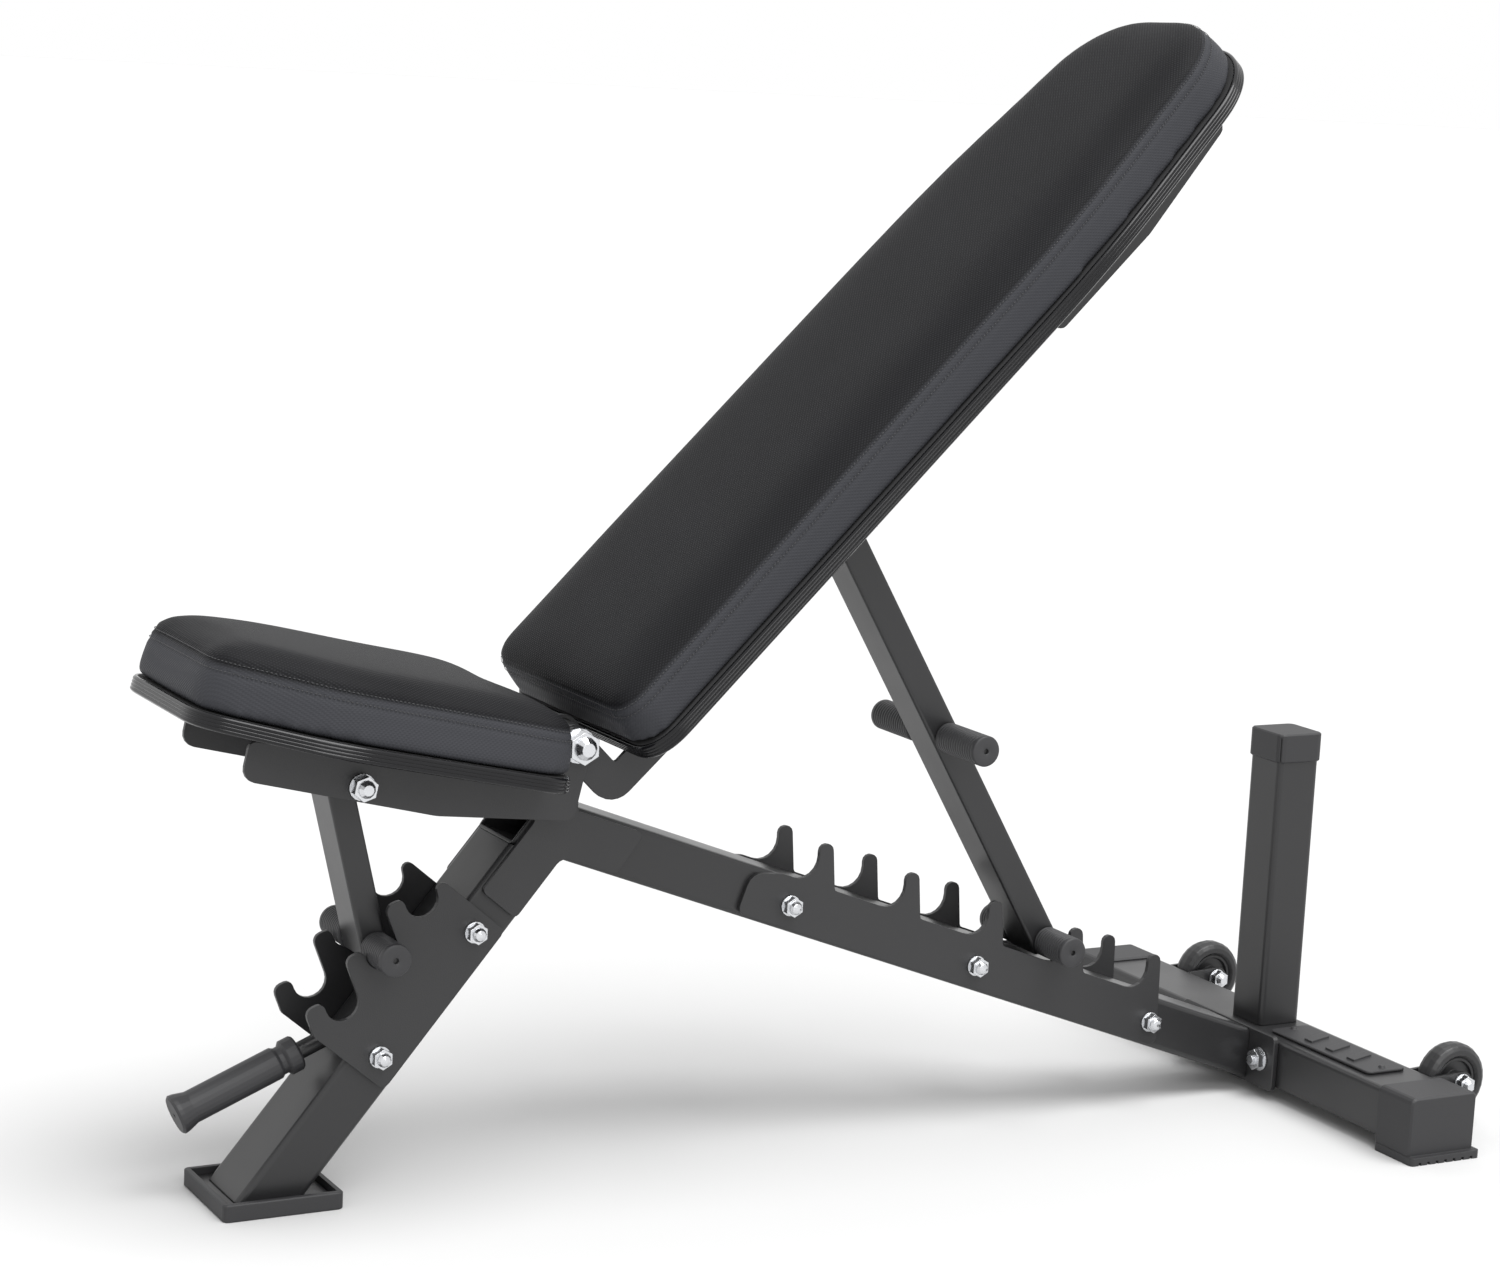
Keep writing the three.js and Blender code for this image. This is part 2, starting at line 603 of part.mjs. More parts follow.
function rearLadderShape() {
  const points = [];
  const bottom = -TUBE_DEEP / 2 + 3;
  const start = rearNotchAlong(0) - 45;
  const wall = REAR_SEAT_RADIUS;
  const floorDrop = wall / Math.cos(THREE.MathUtils.degToRad(beamAngle));
  const slope = Math.tan(THREE.MathUtils.degToRad(beamAngle));
  points.push([...onBeam(start, bottom), 8]);
  const lastRight = rearNotch(REAR_TEETH - 1)[0] + wall + REAR_FINGER + 4;
  const endLow = crossing([lastRight, 0], 92, onBeam(0, bottom), beamAngle);
  points.push([...endLow, 8]);
  for (let i = REAR_TEETH - 1; i >= 0; i--) {
    const [cx, cz] = rearNotch(i);
    const left = cx + wall;
    const right = left + REAR_FINGER;
    const floorAt = (x) => cz - floorDrop + (x - cx) * slope;
    if (i < REAR_TEETH - 1) points.push([right + 4, floorAt(right + 4), 4]);
    points.push([right, cz + REAR_FINGER_RISE, REAR_FINGER / 2 - 0.3]);
    points.push([left, cz + REAR_FINGER_RISE, REAR_FINGER / 2 - 0.3]);
    points.push([left, floorAt(left), wall - 0.4]);
  }
  const [fx, fz] = rearNotch(0);
  points.push([fx - 18, fz - floorDrop - 18 * slope, 6]);
  points.push([...onBeam(start, TUBE_DEEP / 2 - 7), 16]);
  const shape = roundedShape(points);
  for (const spot of rearBoltSpots()) shape.holes.push(circlePath(...spot, LADDER_BOLT_RADIUS + GAP, 16));
  return shape;
}

// Front notches: U-shaped slots that lean forward, one finger beside each.
const seatStrutAngle = -76;
const seatPivot = onSeat(...SEAT_STRUT_PIVOT);
const frontRestOut = 64.5;

function frontNotchRest() {
  return crossing(seatPivot, seatStrutAngle, onLeg(0, frontRestOut), legAngle);
}

// In a notch's own frame: `across` runs forward from its centre line, `up` along it.
const frontPoint = ([x, z], across, up) => {
  const [dx, dz] = turned(-across, up, FRONT_LEAN);
  return [x + dx, z + dz];
};
const frontNotch = (i) => {
  const [x, z] = frontNotchRest();
  const [dx, dz] = turned((1 - i) * FRONT_PITCH, 0, legAngle);
  return [x + dx, z + dz];
};
const frontAlong = (i) => {
  const [x, z] = frontNotch(i);
  return turned(x - junction[0], z - junction[1], -legAngle)[0];
};

function frontBoltSpots() {
  return [onLeg(frontAlong(0) + 7, 3), onLeg(frontAlong(FRONT_NOTCHES - 1) - 17, 3)];
}

function frontLadderShape() {
  const half = FRONT_NOTCH_HALF;
  const points = [];
  const top = frontAlong(0) + 25;
  const low = frontAlong(FRONT_NOTCHES - 1) - 38;
  const rear = -TUBE_DEEP / 2 + 4;
  points.push([...onLeg(low, rear), 8]);
  points.push([...onLeg(top, rear), 6]);
  const wallTop = frontPoint(frontNotch(0), -half, 0);
  points.push([...crossing(wallTop, 90 + FRONT_LEAN, onLeg(top, 0), legAngle + 90), 6]);
  const step = frontNotch(1).map((v, i) => v - frontNotch(0)[i]);
  const across = -turned(step[0], step[1], -FRONT_LEAN)[0];
  for (let i = 0; i < FRONT_NOTCHES; i++) {
    const centre = frontNotch(i);
    points.push([...frontPoint(centre, -half, -half), half - 0.5]);
    points.push([...frontPoint(centre, half, -half), half - 0.5]);
    points.push([...frontPoint(centre, half, FRONT_FINGER_RISE), 6]);
    points.push([...frontPoint(centre, across - half, FRONT_FINGER_RISE), 8]);
  }
  const last = frontPoint(frontNotch(FRONT_NOTCHES - 1), across - half, 0);
  points.push([...crossing(last, 90 + FRONT_LEAN, onLeg(low, 0), legAngle + 90), 5]);
  const shape = roundedShape(points);
  for (const spot of frontBoltSpots()) shape.holes.push(circlePath(...spot, LADDER_BOLT_RADIUS + GAP, 16));
  return shape;
}

function buildLadders() {
  for (const [name, side] of SIDES) {
    const y0 = plateBase(side, plateInner, PLATE);
    add(bench, `rear_ladder_${name}`, sidePlate(rearLadderShape(), PLATE, y0), steelMaterial());
    add(bench, `front_ladder_${name}`, sidePlate(frontLadderShape(), PLATE, y0), steelMaterial());
  }
  rearBoltSpots().forEach(([x, z], i) => {
    add(bench, `rear_ladder_bolt_${i + 1}`, throughBolt(LADDER_BOLT_RADIUS, plateOuter, x, z), zincMaterial());
  });
  frontBoltSpots().forEach(([x, z], i) => {
    add(bench, `front_ladder_bolt_${i + 1}`, throughBolt(LADDER_BOLT_RADIUS, plateOuter, x, z), zincMaterial());
  });
}

// ---- front handle ----
function handleAngle() {
  const run = HANDLE_ROOT[0] - HANDLE_TIP[0];
  return THREE.MathUtils.radToDeg(Math.atan2(HANDLE_ROOT[1] - HANDLE_TIP[1], run));
}

function handleEntry() {
  return crossing(HANDLE_TIP, handleAngle(), onLeg(0, TUBE_DEEP / 2), legAngle);
}

function buildHandle() {
  const [ex, ez] = handleEntry();
  const length = Math.hypot(ex - HANDLE_TIP[0], ez - HANDLE_TIP[1]);
  const inside = 12;
  const bar = new THREE.CylinderGeometry(HANDLE_RADIUS, HANDLE_RADIUS, length + inside - 4, 24);
  bar.rotateZ(Math.PI / 2);
  bar.translate((length + inside + 4) / 2, 0, 0);
  add(bench, 'handle_bar', placed(bar, handleAngle(), ...HANDLE_TIP), steelMaterial());
  const bore = HANDLE_RADIUS + GAP;
  const r = GRIP_RADIUS;
  const profile = [
    [2, 0],
    [r + 1.5, 0],
    [r + 3.5, 2],
    [r + 3, 6],
    [r, 16],
    [r, GRIP_LENGTH - 22],
    [r - 2, GRIP_LENGTH - 19],
    [r - 2, GRIP_LENGTH - 15],
    [r + 1.5, GRIP_LENGTH - 12],
    [r + 1.5, GRIP_LENGTH - 2],
    [r, GRIP_LENGTH],
    [bore, GRIP_LENGTH],
    [bore, 3.6],
    [2, 3.6],
    [2, 0],
  ];
  const grip = crossLathe(profile, 0, 0, 24);
  grip.rotateZ(-Math.PI / 2);
  add(bench, 'handle_grip', placed(grip, handleAngle(), ...HANDLE_TIP), rubberMaterial());
}

// ---- wheels ----
function buildWheels() {
  const armGap = WHEEL_WIDTH / 2 + 2;
  const armOut = armGap + BRACKET_PLATE;
  for (const [name, side] of SIDES) {
    const y = side * WHEEL_Y;
    const root = TUBE_WIDE + GAP;
    const low = CROSSBAR_BASE + 4;
    const high = crossbarTop - 4;
    const backing = box(root, y - armOut, low, root + BRACKET_PLATE, y + armOut, high);
    const arm = [
      [root + 1, low + 4, 0],
      [WHEEL_X, WHEEL_Z - 14, 10],
      [WHEEL_X + 14, WHEEL_Z - 10, 12],
      [WHEEL_X + 14, WHEEL_Z + 12, 12],
      [root + 1, high, 0],
    ];
    const arms = [-1, 1].map((end) => {
      const shape = roundedShape(arm);
      shape.holes.push(circlePath(WHEEL_X, WHEEL_Z, AXLE_RADIUS + GAP, 16));
      return sidePlate(shape, BRACKET_PLATE, y + plateBase(end, armGap, BRACKET_PLATE));
    });
    add(bench, `wheel_bracket_${name}`, join(backing, ...arms), steelMaterial());
    const axle = throughBolt(AXLE_RADIUS, armOut, WHEEL_X, WHEEL_Z, false);
    axle.translate(0, y, 0);
    add(bench, `wheel_axle_${name}`, axle, zincMaterial());

    const half = WHEEL_WIDTH / 2;
    const tyre = crossLathe(
      [
        [HUB_RADIUS, -half + 3],
        [HUB_RADIUS + 3, -half],
        [WHEEL_RADIUS - 6, -half],
        [WHEEL_RADIUS - 2, -half + 3],
        [WHEEL_RADIUS, -half + 8],
        [WHEEL_RADIUS, half - 8],
        [WHEEL_RADIUS - 2, half - 3],
        [WHEEL_RADIUS - 6, half],
        [HUB_RADIUS + 3, half],
        [HUB_RADIUS, half - 3],
        [HUB_RADIUS, -half + 3],
      ],
      WHEEL_X,
      WHEEL_Z,
      28,
    );
    tyre.translate(0, y, 0);
    add(bench, `wheel_tyre_${name}`, tyre, tyreMaterial());
    const rim = HUB_RADIUS - GAP;
    const bore = AXLE_RADIUS + RUNNING;
    const boss = bore + 4.5;
    const hub = crossLathe(
      [
        [bore, -half - 1.2],
        [boss, -half - 1.2],
        [boss, -5],
        [rim - 4, -5],
        [rim - 3, -half + 3],
        [rim, -half + 3],
        [rim, half - 3],
        [rim - 3, half - 3],
        [rim - 4, 5],
        [boss, 5],
        [boss, half + 1.2],
        [bore, half + 1.2],
        [bore, -half - 1.2],
      ],
      WHEEL_X,
      WHEEL_Z,
      28,
    );
    hub.translate(0, y, 0);
    add(bench, `wheel_hub_${name}`, hub, tyreMaterial());
  }
}

// ---- pads ----
// Corner points of a pad's plan, given for one side and mirrored.
function padPoints(half) {
  const mirrored = half.map(([x, y, r]) => [x, -y, r]);
  return [...mirrored, ...half.toReversed()];
}

const backPadPoints = padPoints([
  [BACK_PAD_START, PAD_HALF, 36],
  [BACK_PAD_END - 272, PAD_HALF, 1000],
  [BACK_PAD_END, PAD_HALF * 0.72, 100],
]);
const seatPadPoints = padPoints([
  [-SEAT_PAD_END, PAD_HALF * 0.6, 42],
  [-SEAT_PAD_END + 107, PAD_HALF, 130],
  [-SEAT_PAD_START, PAD_HALF, 34],
]);

// A closed body from the same plan at several heights, each level [z, inset] narrower than the plan.
function layered(points, levels) {
  const plan = roundedShape(points).getPoints();
  if (plan[0].distanceTo(plan.at(-1)) < 1e-6) plan.pop();
  const count = plan.length;
  const inward = plan.map((point, i) => {
    const before = point.clone().sub(plan.at(i - 1)).normalize();
    const after = plan[(i + 1) % count].clone().sub(point).normalize();
    const normal = new THREE.Vector2(-before.y - after.y, before.x + after.x).normalize();
    return normal.divideScalar(normal.dot(new THREE.Vector2(-before.y, before.x)));
  });
  const vertices = [];
  for (const [z, inset] of levels) {
    plan.forEach((point, i) => {
      const moved = point.clone().addScaledVector(inward[i], inset);
      vertices.push(moved.x, moved.y, z);
    });
  }
  const faces = [];
  for (let level = 0; level < levels.length - 1; level++) {
    for (let i = 0; i < count; i++) {
      const a = level * count + i;
      const b = level * count + ((i + 1) % count);
      faces.push(a, b, b + count, a, b + count, a + count);
    }
  }
  const top = (levels.length - 1) * count;
  for (const [a, b, c] of THREE.ShapeUtils.triangulateShape(plan, [])) {
    faces.push(a, c, b, top + a, top + b, top + c);
  }
  const geometry = new THREE.BufferGeometry();
  geometry.setAttribute('position', new THREE.Float32BufferAttribute(vertices, 3));
  geometry.setIndex(faces);
  return geometry;
}

function buildPad(parent, name, points) {
  const board = levelPlate(roundedShape(insetPoints(points, PAD_TRIM + GAP)), PAD_BOARD, PAD_BASE + GAP);
  add(parent, `${name}_board`, board, boardMaterial());
  const ring = roundedShape(points);
  ring.holes.push(roundedShape(insetPoints(points, PAD_TRIM), new THREE.Path()));
  const trimTop = PAD_BASE + PAD_BOARD + GAP;
  add(parent, `${name}_trim`, levelPlate(ring, trimTop - PAD_BASE, PAD_BASE), trimMaterial());
  const levels = [
    [trimTop + GAP, 2],
    [PAD_SEAM, 6],
  ];
  for (const turn of [30, 60, 90]) {
    const a = THREE.MathUtils.degToRad(turn);
    const rise = (PAD_TOP - PAD_SEAM) * Math.sin(a);
    levels.push([PAD_SEAM + rise, 6 + PAD_CROWN_REACH * (1 - Math.cos(a))]);
  }
  add(parent, `${name}_cushion`, layered(points, levels), vinylMaterial());
}

// ---- back rest ----
const railTop = PAD_BASE - 5.8;
const CROSS_PLATE = 5;

function backSideShape() {
  const arm = 16;
  const points = [
    [-arm - 1, -71, 24],
    [75, -73.5, 30],
    [604, -73.5, 4],
    [611, -83, 8],
    [740, -83, 12],
    [868, -66, 8],
    [868, railTop, 10],
    [arm - 1, railTop, 3],
    [arm - 1, arm, arm - 0.7],
    [-arm - 1, arm, arm - 0.7],
  ];
  const shape = roundedShape(points);
  shape.holes.push(circlePath(0, 0, HINGE_BOLT_RADIUS + RUNNING));
  shape.holes.push(circlePath(...BACK_STRUT_PIVOT, LADDER_BOLT_RADIUS + 1 + GAP, 20));
  return shape;
}

function buildBack() {
  const back = group(bench, HINGE_X, HINGE_Z, BACK_ANGLE);
  buildPad(back, 'back', backPadPoints);
  for (const [name, side] of SIDES) {
    const plate = sidePlate(backSideShape(), PLATE, plateBase(side, SIDE_PLATE_Y, PLATE));
    add(back, `back_side_plate_${name}`, plate, steelMaterial());
  }
  const reach = SIDE_PLATE_Y + PLATE - GAP;
  const crossLow = PAD_BASE - GAP - CROSS_PLATE;
  [['lower', 60], ['upper', 700]].forEach(([name, at]) => {
    const plate = box(at, -reach, crossLow, at + 60, reach, crossLow + CROSS_PLATE);
    add(back, `back_cross_plate_${name}`, plate, steelMaterial());
  });
  const bolt = throughBolt(LADDER_BOLT_RADIUS + 1, SIDE_PLATE_Y + PLATE, ...BACK_STRUT_PIVOT, false);
  add(back, 'back_strut_bolt', bolt, zincMaterial());
}

// ---- seat ----
function seatSideShape() {
  const rear = 14;
  const points = [
    [-304, -76.5, 12],
    [-120, -81.5, 40],
    [rear - 2, -67.5, 8],
    [rear, rear, rear - 0.7],
    [-rear, rear, rear - 0.7],
    [-rear - 10, railTop, 10],
    [-304, railTop, 6],
  ];
  const shape = roundedShape(points);
  shape.holes.push(circlePath(0, 0, HINGE_BOLT_RADIUS + RUNNING));
  shape.holes.push(circlePath(...SEAT_STRUT_PIVOT, LADDER_BOLT_RADIUS + 1 + GAP, 20));
  return shape;
}

function buildSeat() {
  const seat = group(bench, HINGE_X, HINGE_Z, -SEAT_ANGLE);
  buildPad(seat, 'seat', seatPadPoints);
  for (const [name, side] of SIDES) {
    const plate = sidePlate(seatSideShape(), PLATE, plateBase(side, SEAT_PLATE_Y, PLATE));
    add(seat, `seat_side_plate_${name}`, plate, steelMaterial());
  }
  const reach = SEAT_PLATE_Y + PLATE - GAP;
  const crossLow = PAD_BASE - GAP - CROSS_PLATE;
  const plate = box(-290, -reach, crossLow, -90, reach, crossLow + CROSS_PLATE);
  add(seat, 'seat_cross_plate', plate, steelMaterial());
  const bolt = throughBolt(LADDER_BOLT_RADIUS + 1, SEAT_PLATE_Y + PLATE, ...SEAT_STRUT_PIVOT, false);
  add(seat, 'seat_strut_bolt', bolt, zincMaterial());
}

// ---- struts ----
// In a strut's own frame X runs from its pivot to its ladder roller.
function sleeve(parent, name, at, side, end) {
  const inner = BACK_STRUT_WIDE / 2 + 2;
  const bore = PIN_RADIUS + GAP;
  const profile = [
    [bore, inner],
    [ROLLER_RADIUS - 1, inner],
    [ROLLER_RADIUS, inner + 1],
    [ROLLER_RADIUS, end - 1],
    [ROLLER_RADIUS - 1, end],
    [2.5, end],
    [2.5, end - 2.5],
    [bore, end - 2.5],
    [bore, inner],
  ];
  const geometry = crossLathe(profile, 0, 0, 20);
  if (side < 0) geometry.rotateX(Math.PI);
  geometry.translate(at, 0, 0);
  add(parent, name, geometry, rubberMaterial());
}

function buildStrut(name, pivot, angle, length, deep, pivotReach, grips) {
  const strut = group(bench, ...pivot, angle);
  const before = 14;
  const beyond = 7;
  const bar = tube(length + before + beyond, BACK_STRUT_WIDE, deep, STRUT_WALL, 3);
  bar.translate(-before, 0, 0);
  const boltRadius = LADDER_BOLT_RADIUS + 1;
  const barrel = crossCylinder(boltRadius + 5, -pivotReach, pivotReach, 0, 0, 16);
  const bore = crossBore(boltRadius + RUNNING);
  const pins = grips.map(([, at, end]) => crossCylinder(PIN_RADIUS, -end + 3, end - 3, at, 0, 16));
  const drain = new THREE.CylinderGeometry(DRAIN_RADIUS, DRAIN_RADIUS, deep, 12);
  drain.rotateX(Math.PI / 2);
  drain.translate(length * 0.45, 0, deep / 2);
  add(strut, name, cut(join(bar, barrel, ...pins), bore, drain), steelMaterial());
  for (const [label, at, end] of grips) {
    for (const [sideName, side] of SIDES) sleeve(strut, `${label}_${sideName}`, at, side, end);
  }
}

buildLeg();
buildBeam();
buildGussets();
buildFoot();
buildCrossbar();
buildRearPlate();
buildPost();
buildNamePlate();
buildLadders();
buildHandle();
buildWheels();
buildBack();
buildSeat();

const frontRoller = frontPoint(frontNotch(1), 0, ROLLER_RADIUS + GAP - FRONT_NOTCH_HALF);
const seatStrutLength = Math.hypot(frontRoller[0] - seatPivot[0], frontRoller[1] - seatPivot[1]);
const seatStrutTurn = Math.atan2(frontRoller[1] - seatPivot[1], frontRoller[0] - seatPivot[0]);

buildStrut('back_strut', backStrut.pivot, backStrut.angle, backStrut.length, BACK_STRUT_DEEP, SIDE_PLATE_Y - 1, [
  ['back_roller', backStrut.length, ROLLER_END],
  ['lifting_grip', backStrut.length - GRIP_UP, GRIP_END],
]);
buildStrut(
  'seat_strut',
  seatPivot,
  THREE.MathUtils.radToDeg(seatStrutTurn),
  seatStrutLength,
  SEAT_STRUT_DEEP,
  SEAT_PLATE_Y - 1,
  [['seat_roller', seatStrutLength, ROLLER_END]],
);

// The origin is on the ground under the middle of the bench's length.
bench.updateMatrixWorld(true);
const extent = new THREE.Box3().setFromObject(bench);
bench.position.x = -(extent.min.x + extent.max.x) / 2;

export default bench;
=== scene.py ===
"""Looks of the adjustable weight bench: pads, trims, sleeves, finishes, light and camera."""
import json
import math

import bpy
import numpy as np
from mathutils import Matrix, Vector
from mathutils.bvhtree import BVHTree
from mathutils.geometry import convex_hull_2d
from mathutils.kdtree import KDTree


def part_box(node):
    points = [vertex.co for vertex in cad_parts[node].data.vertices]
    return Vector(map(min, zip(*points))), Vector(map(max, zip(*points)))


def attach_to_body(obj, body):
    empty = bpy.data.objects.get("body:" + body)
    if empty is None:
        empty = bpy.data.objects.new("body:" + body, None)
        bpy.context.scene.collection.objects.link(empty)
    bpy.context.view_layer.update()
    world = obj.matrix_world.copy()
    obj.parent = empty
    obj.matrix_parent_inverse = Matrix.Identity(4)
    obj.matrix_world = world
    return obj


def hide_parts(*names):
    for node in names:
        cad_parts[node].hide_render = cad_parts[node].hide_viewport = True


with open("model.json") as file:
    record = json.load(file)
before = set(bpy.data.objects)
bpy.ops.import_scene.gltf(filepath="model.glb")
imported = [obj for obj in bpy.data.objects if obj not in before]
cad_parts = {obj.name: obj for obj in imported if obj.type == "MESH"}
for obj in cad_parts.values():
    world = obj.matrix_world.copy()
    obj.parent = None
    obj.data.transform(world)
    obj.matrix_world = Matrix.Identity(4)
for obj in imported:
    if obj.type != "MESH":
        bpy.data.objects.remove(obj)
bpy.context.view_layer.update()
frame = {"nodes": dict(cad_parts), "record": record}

MM = 0.001
NODES = frame["nodes"]
RECORD = frame["record"]
BODIES = RECORD["behaviour"]["bodies"]
JOINTS = {joint["name"]: joint for joint in RECORD["behaviour"]["joints"]}
HINGE = Vector(JOINTS["back_pivot"]["pos_m"])

# Pads: heights are measured from the hinge, square to the pad.
BACK_ANGLE = math.radians(45)
SEAT_ANGLE = math.radians(11.5)
TRIM_RIDGES = 4
TRIM_RIDGE_DEPTH = 0.9 * MM
TRIM_INNER = -3.8 * MM
SEAM_HEIGHT = 17 * MM
SEAM_DEPTH = 1.1 * MM
SEAM_WIDTH = 3.2 * MM
CROWN_RISE = 3.5 * MM
GROOVE_DEPTH = 0.9 * MM
PIN_RADIUS = 10.4 * MM
WELD_RADIUS = 10.3 * MM
WELD_OUT = 25.6 * MM  # weld rings, from the bench's middle plane
WELD_BEAD = 1.7 * MM
VINYL_TOP = (0.007, 0.007, 0.0078)
# Painted light: the pad sides take this lighter colour than the top, the same vinyl coloured as if lit and
# shaded.
VINYL_SIDE_PAINTED_LIGHT = (0.038, 0.039, 0.044)
PAINTED_LIGHT_SIDE_TOP = 20 * MM  # painted light: below this height the sides get a lighter colour than the top
TWILL_SCALE = 148  # bands about 3 mm apart
STITCH_LENGTH = 2.6 * MM
STITCH_PITCH = 3.9 * MM
STITCH_RADIUS = 0.42 * MM
SEAM_SPACING = 8.0 * MM

# Camera: where it stands from the hinge, and how it is turned.
CAMERA_OFFSET = Vector((-1.2535, -2.6695, 0.5796))
CAMERA_YAW = math.radians(28.77)
CAMERA_PITCH = math.radians(-9.37)
CAMERA_ROLL = math.radians(2.86)
CAMERA_LENS = 79.26


# ---- materials ----
class Material:
    """A node material with one Principled shader and short helpers for its inputs."""

    def __init__(self, name, color, roughness, metallic=0.0, **sockets):
        self.material = bpy.data.materials.new(name)
        self.material.use_nodes = True
        self.tree = self.material.node_tree
        self.shader = self.tree.nodes["Principled BSDF"]
        self.set("Base Color", (*color, 1))
        self.set("Roughness", roughness)
        self.set("Metallic", metallic)
        for socket, value in sockets.items():
            self.set(socket.replace("_", " "), value)

    def set(self, socket, value):
        self.shader.inputs[socket].default_value = value

    def node(self, kind, **values):
        made = self.tree.nodes.new(kind)
        for key, value in values.items():
            if key in made.inputs:
                made.inputs[key].default_value = value
            else:
                setattr(made, key, value)
        return made

    def link(self, source, target):
        self.tree.links.new(source, target)

    def object_coordinates(self, scale=(1, 1, 1)):
        coordinates = self.node("ShaderNodeTexCoord")
        mapping = self.node("ShaderNodeMapping")
        mapping.inputs["Scale"].default_value = scale
        self.link(coordinates.outputs["Object"], mapping.inputs["Vector"])
        return mapping.outputs["Vector"]

    def noise(self, scale, detail=3.0):
        made = self.node("ShaderNodeTexNoise", Scale=scale, Detail=detail, Roughness=0.5)
        self.link(self.object_coordinates(), made.inputs["Vector"])
        return made.outputs["Fac"]

    def ramp(self, source, low, high, at_low=0.0, at_high=1.0):
        made = self.node("ShaderNodeMapRange")
        made.inputs["From Min"].default_value = low
        made.inputs["From Max"].default_value = high
        made.inputs["To Min"].default_value = at_low
        made.inputs["To Max"].default_value = at_high
        self.link(source, made.inputs["Value"])
        return made.outputs["Result"]

    def math(self, operation, first, second):
        made = self.node("ShaderNodeMath", operation=operation)
        for socket, value in zip(made.inputs, (first, second)):
            if isinstance(value, (int, float)):
                socket.default_value = value
            else:
                self.link(value, socket)
        return made.outputs[0]

    def color_between(self, factor, first, second):
        made = self.node("ShaderNodeMix", data_type="RGBA")
        made.inputs[6].default_value = (*first, 1)
        made.inputs[7].default_value = (*second, 1)
        self.link(factor, made.inputs[0])
        self.link(made.outputs[2], self.shader.inputs["Base Color"])

    def bump(self, height, strength, distance, normal=None):
        made = self.node("ShaderNodeBump", Strength=strength, Distance=distance)
        self.link(height, made.inputs["Height"])
        if normal is not None:
            self.link(normal, made.inputs["Normal"])
        self.link(made.outputs["Normal"], self.shader.inputs["Normal"])

    def round_edges(self, radius):
        made = self.node("ShaderNodeBevel", samples=6)
        made.inputs["Radius"].default_value = radius
        self.link(made.outputs["Normal"], self.shader.inputs["Normal"])
        return made.outputs["Normal"]


def powder_coat(name, tone=0.018, roughness=0.36, texture=0.12, edge=1.6 * MM):
    coat = Material(name, (tone, tone, tone * 1.05), roughness)
    rounded = coat.round_edges(edge)
    speckle = coat.noise(900, detail=2)
    coat.bump(speckle, texture, 0.4 * MM, rounded)
    wear = coat.noise(9, detail=4)
    coat.link(coat.ramp(wear, 0.3, 0.7, roughness - 0.04, roughness + 0.05), coat.shader.inputs["Roughness"])
    return coat.material


def zinc_plate():
    zinc = Material("zinc_plate", (0.66, 0.67, 0.69), 0.24, 1.0)
    rounded = zinc.round_edges(0.8 * MM)
    scratches = zinc.noise(260, detail=4)
    zinc.bump(scratches, 0.08, 0.3 * MM, rounded)
    zinc.link(zinc.ramp(zinc.noise(60), 0.3, 0.7, 0.18, 0.34), zinc.shader.inputs["Roughness"])
    return zinc.material


def moulded_rubber(name, tone=0.022, roughness=0.55):
    rubber = Material(name, (tone, tone, tone * 1.08), roughness)
    rounded = rubber.round_edges(1.4 * MM)
    grain = rubber.noise(700, detail=3)
    rubber.bump(grain, 0.14, 0.3 * MM, rounded)
    return rubber.material


def gloss_trim():
    trim = Material("gloss_trim", (0.006, 0.006, 0.007), 0.16, Specular_IOR_Level=0.32)
    trim.bump(trim.noise(120, detail=2), 0.04, 0.5 * MM)
    return trim.material


def twill_vinyl():
    """Fine diagonal ribs crossed by a faint second set, like pressed carbon twill."""
    vinyl = Material("twill_vinyl", (0.012, 0.012, 0.013), 0.5, Specular_IOR_Level=0.1)
    heights = []
    for flip in ((1, 1, 1), (1, -1, -1)):
        wave = vinyl.node("ShaderNodeTexWave", bands_direction="DIAGONAL", Scale=TWILL_SCALE)
        vinyl.link(vinyl.object_coordinates(scale=flip), wave.inputs["Vector"])
        heights.append(wave.outputs["Fac"])
    weave = vinyl.math("MULTIPLY", heights[0], heights[1])
    leather = vinyl.noise(420, detail=4)
    height = vinyl.math("ADD", weave, vinyl.math("MULTIPLY", leather, 0.7))
    vinyl.bump(height, 0.45, 0.6 * MM)
    patches = vinyl.noise(14, detail=4)
    low = vinyl.math("ADD", vinyl.ramp(patches, 0.3, 0.7, 0.0, 0.06), vinyl.math("MULTIPLY", weave, 0.22))
    # Painted light: below the side height the base colour turns lighter, the sides painted as lit and the
    # top as shaded.
    high = PAINTED_LIGHT_SIDE_TOP
    parted = vinyl.node("ShaderNodeSeparateXYZ")
    vinyl.link(vinyl.object_coordinates(), parted.inputs["Vector"])
    side = vinyl.ramp(parted.outputs["Z"], high, high - 5 * MM)
    vinyl.color_between(vinyl.math("ADD", low, side), VINYL_TOP, VINYL_SIDE_PAINTED_LIGHT)
    vinyl.link(vinyl.ramp(weave, 0.0, 1.0, 0.6, 0.44), vinyl.shader.inputs["Roughness"])
    return vinyl.material


def dust_cloth():
    cloth = Material("dust_cloth", (0.02, 0.02, 0.021), 0.85)
    cloth.bump(cloth.noise(1100, detail=2), 0.3, 0.4 * MM)
    return cloth.material


def tyre_plastic():
    tyre = Material("wheel_plastic", (0.016, 0.016, 0.017), 0.38)
    rounded = tyre.round_edges(2.2 * MM)
    tyre.bump(tyre.noise(500, detail=3), 0.08, 0.3 * MM, rounded)
    return tyre.material


def thread():
    made = Material("stitch_thread", (0.03, 0.03, 0.032), 0.45)
    made.bump(made.noise(2400, detail=1), 0.3, 0.1 * MM)
    return made.material


